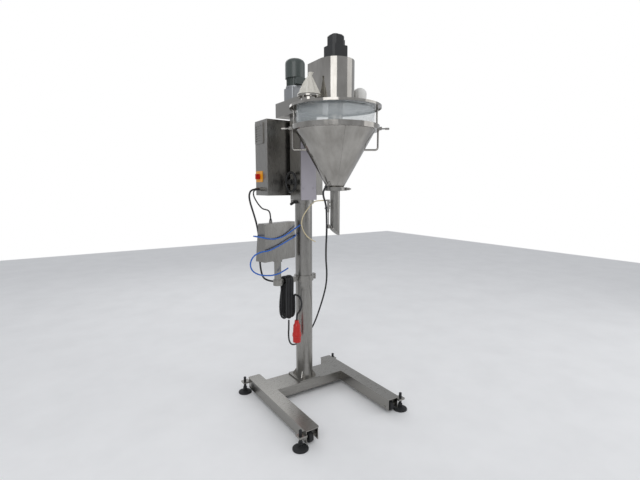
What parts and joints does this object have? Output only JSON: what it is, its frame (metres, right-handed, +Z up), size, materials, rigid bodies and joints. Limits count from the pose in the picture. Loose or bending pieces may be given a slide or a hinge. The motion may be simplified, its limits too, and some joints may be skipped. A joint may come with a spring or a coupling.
{
  "type": "auger powder filler",
  "caption": "Column-mounted auger powder filler: cone hopper with clear ring, servo auger drive, agitator motor, control cabinet and a swivelling operator box.",
  "frame": {"origin": "centre of the footprint on the floor, below the levelling feet", "axes": "+Z up along the column, -Y towards the hopper, -X towards the operator box"},
  "size_m": [0.7781, 0.809, 2.03],
  "materials": {
    "brushed stainless": "brushed",
    "polished stainless": "mirror polished",
    "black motor": "satin",
    "grey green motor": "semi-gloss paint",
    "cast aluminium": "cast satin",
    "chain steel": "oiled",
    "black plastic": "moulded",
    "black rubber": "moulded",
    "wheel rubber": "moulded",
    "yellow plastic": "moulded",
    "red plastic": "moulded",
    "clear acrylic": "clear",
    "screen glass": "glossy",
    "filter cloth": "woven",
    "film bag": "clear film",
    "blue hose": "extruded",
    "cream hose": "extruded",
    "black cable": "extruded"
  },
  "bodies": {
    "base": {"leg_left": "brushed stainless", "leg_right": "brushed stainless", "cross_beam": "brushed stainless", "column_base": "brushed stainless", "column": "brushed stainless"},
    "carriage": {"air_cylinder": "polished stainless", "arm_case": "brushed stainless", "cabinet_body": "brushed stainless", "cream_hose": "cream hose", "drive_chain": "chain steel", "drive_cover": "polished stainless", "drive_frame": "cast aluminium", "hopper": "polished stainless", "hopper_lid": "polished stainless", "inlet_bag": "film bag", "inlet_port": "polished stainless", "mixer_gearbox": "cast aluminium", "mixer_motor": "grey green motor", "motor_cowl": "grey green motor", "neck_clamp": "brushed stainless", "panel_cable": "black cable", "servo_motor": "black motor", "sleeve": "brushed stainless", "sleeve_plate": "brushed stainless", "spout": "brushed stainless", "spout_cable": "black cable", "supply_cord": "black cable", "switch_plate": "yellow plastic", "vent_bag": "filter cloth", "vent_filter": "polished stainless", "view_ring": "clear acrylic"},
    "handwheel": {"handwheel": "black plastic", "lift_pinion": "chain steel"},
    "clamp_lever": {"clamp_lever": "black plastic"},
    "cabinet_door": {"cabinet_door": "brushed stainless"},
    "switch_knob": {"switch_knob": "red plastic"},
    "agitator": {"agitator": "polished stainless", "driven_sprocket": "chain steel"},
    "drive_sprocket": {"drive_sprocket": "chain steel"},
    "auger": {"auger": "polished stainless"},
    "outlet_flap": {"outlet_flap": "brushed stainless"},
    "cylinder_rod": {"cylinder_rod": "polished stainless"},
    "rim_latch_right": {"rim_latch_right": "polished stainless"},
    "rim_latch_left": {"rim_latch_left": "polished stainless"},
    "clamp_nut": {"clamp_nut": "brushed stainless"},
    "bracket": {"bracket_arm": "brushed stainless", "cord_hank": "black rubber", "plug_lead": "black cable", "supply_plug": "red plastic"},
    "panel": {"panel_box": "brushed stainless", "panel_screen": "screen glass", "blue_hose": "blue hose"},
    "wheel_front_left": {"wheel_front_left": "wheel rubber"},
    "foot_front_left": {"foot_front_left": "black rubber"},
    "wheel_rear_left": {"wheel_rear_left": "wheel rubber"},
    "foot_rear_left": {"foot_rear_left": "black rubber"},
    "wheel_front_right": {"wheel_front_right": "wheel rubber"},
    "foot_front_right": {"foot_front_right": "black rubber"},
    "wheel_rear_right": {"wheel_rear_right": "wheel rubber"},
    "foot_rear_right": {"foot_rear_right": "black rubber"}
  },
  "joints": [
    {"name": "carriage_lift", "type": "slide", "parent": "base", "child": "carriage", "axis": [0, 0, 1], "range_m": [-0.09, 0.1], "deforming": ["supply_cord", "panel_cable", "spout_cable"]},
    {"name": "handwheel_turn", "type": "hinge", "parent": "carriage", "child": "handwheel", "pos_m": [-0.085, 0.1585, 1.297], "axis": [1, 0, 0], "range_deg": [-275, 248]},
    {"name": "clamp_lever", "type": "hinge", "parent": "carriage", "child": "clamp_lever", "pos_m": [-0.071, 0.1585, 1.182], "axis": [0, 1, 0], "range_deg": [-50, 50]},
    {"name": "cabinet_door", "type": "hinge", "parent": "carriage", "child": "cabinet_door", "pos_m": [0.2015, 0.389, 1.439], "axis": [0, 0, -1], "range_deg": [0, 110]},
    {"name": "main_switch", "type": "hinge", "parent": "carriage", "child": "switch_knob", "pos_m": [-0.198, 0.3485, 1.331], "axis": [1, 0, 0], "range_deg": [0, 90]},
    {"name": "agitator_spin", "type": "hinge", "parent": "carriage", "child": "agitator", "pos_m": [0, -0.1665, 1.6], "axis": [0, 0, 1], "continuous": true},
    {"name": "mixer_drive_spin", "type": "hinge", "parent": "carriage", "child": "drive_sprocket", "pos_m": [0, 0.2485, 1.712], "axis": [0, 0, 1], "continuous": true},
    {"name": "auger_spin", "type": "hinge", "parent": "carriage", "child": "auger", "pos_m": [0, -0.1665, 1.3], "axis": [0, 0, 1], "continuous": true},
    {"name": "outlet_flap", "type": "hinge", "parent": "carriage", "child": "outlet_flap", "pos_m": [-0.0305, -0.1665, 1.055], "axis": [0, 1, 0], "range_deg": [0, 60]},
    {"name": "cylinder_rod", "type": "slide", "parent": "carriage", "child": "cylinder_rod", "axis": [0, 0, 1], "range_m": [0, 0.0115]},
    {"name": "rim_latch_right", "type": "hinge", "parent": "carriage", "child": "rim_latch_right", "pos_m": [0.19876, -0.29558, 1.5695], "axis": [0.5446, 0.8387, 0], "range_deg": [0, 75]},
    {"name": "rim_latch_left", "type": "hinge", "parent": "carriage", "child": "rim_latch_left", "pos_m": [-0.19876, -0.03742, 1.5695], "axis": [-0.5446, -0.8387, 0], "range_deg": [0, 75]},
    {"name": "clamp_nut", "type": "hinge", "parent": "carriage", "child": "clamp_nut", "pos_m": [0.064, -0.1665, 1.258], "axis": [0, 1, 0], "continuous": true},
    {"name": "bracket_swing", "type": "hinge", "parent": "base", "child": "bracket", "pos_m": [0, 0.1585, 0.739], "axis": [0, 0, 1], "range_deg": [-40, 15], "deforming": ["supply_cord", "panel_cable", "spout_cable"]},
    {"name": "panel_swivel", "type": "hinge", "parent": "bracket", "child": "panel", "pos_m": [-0.2, 0.1185, 0.84], "axis": [0, 0, 1], "range_deg": [-60, 60], "deforming": ["panel_cable", "blue_hose"]},
    {"name": "wheel_front_left_spin", "type": "hinge", "parent": "base", "child": "wheel_front_left", "pos_m": [-0.27, -0.3305, 0.033], "axis": [1, 0, 0], "continuous": true},
    {"name": "wheel_rear_left_spin", "type": "hinge", "parent": "base", "child": "wheel_rear_left", "pos_m": [-0.27, 0.2935, 0.033], "axis": [1, 0, 0], "continuous": true},
    {"name": "wheel_front_right_spin", "type": "hinge", "parent": "base", "child": "wheel_front_right", "pos_m": [0.27, -0.3305, 0.033], "axis": [1, 0, 0], "continuous": true},
    {"name": "wheel_rear_right_spin", "type": "hinge", "parent": "base", "child": "wheel_rear_right", "pos_m": [0.27, 0.2935, 0.033], "axis": [1, 0, 0], "continuous": true},
    {"name": "foot_front_left_height", "type": "slide", "parent": "base", "child": "foot_front_left", "axis": [0, 0, 1], "range_m": [-0.015, 0.01]},
    {"name": "foot_rear_left_height", "type": "slide", "parent": "base", "child": "foot_rear_left", "axis": [0, 0, 1], "range_m": [-0.015, 0.01]},
    {"name": "foot_front_right_height", "type": "slide", "parent": "base", "child": "foot_front_right", "axis": [0, 0, 1], "range_m": [-0.015, 0.01]},
    {"name": "foot_rear_right_height", "type": "slide", "parent": "base", "child": "foot_rear_right", "axis": [0, 0, 1], "range_m": [-0.015, 0.01]}
  ],
  "couplings": [
    {"joint": "handwheel_turn", "follows": "carriage_lift", "rad_per_m": -47.619},
    {"joint": "mixer_drive_spin", "follows": "agitator_spin", "ratio": 2},
    {"joint": "cylinder_rod", "follows": "outlet_flap", "m_per_rad": 0.00995}
  ]
}
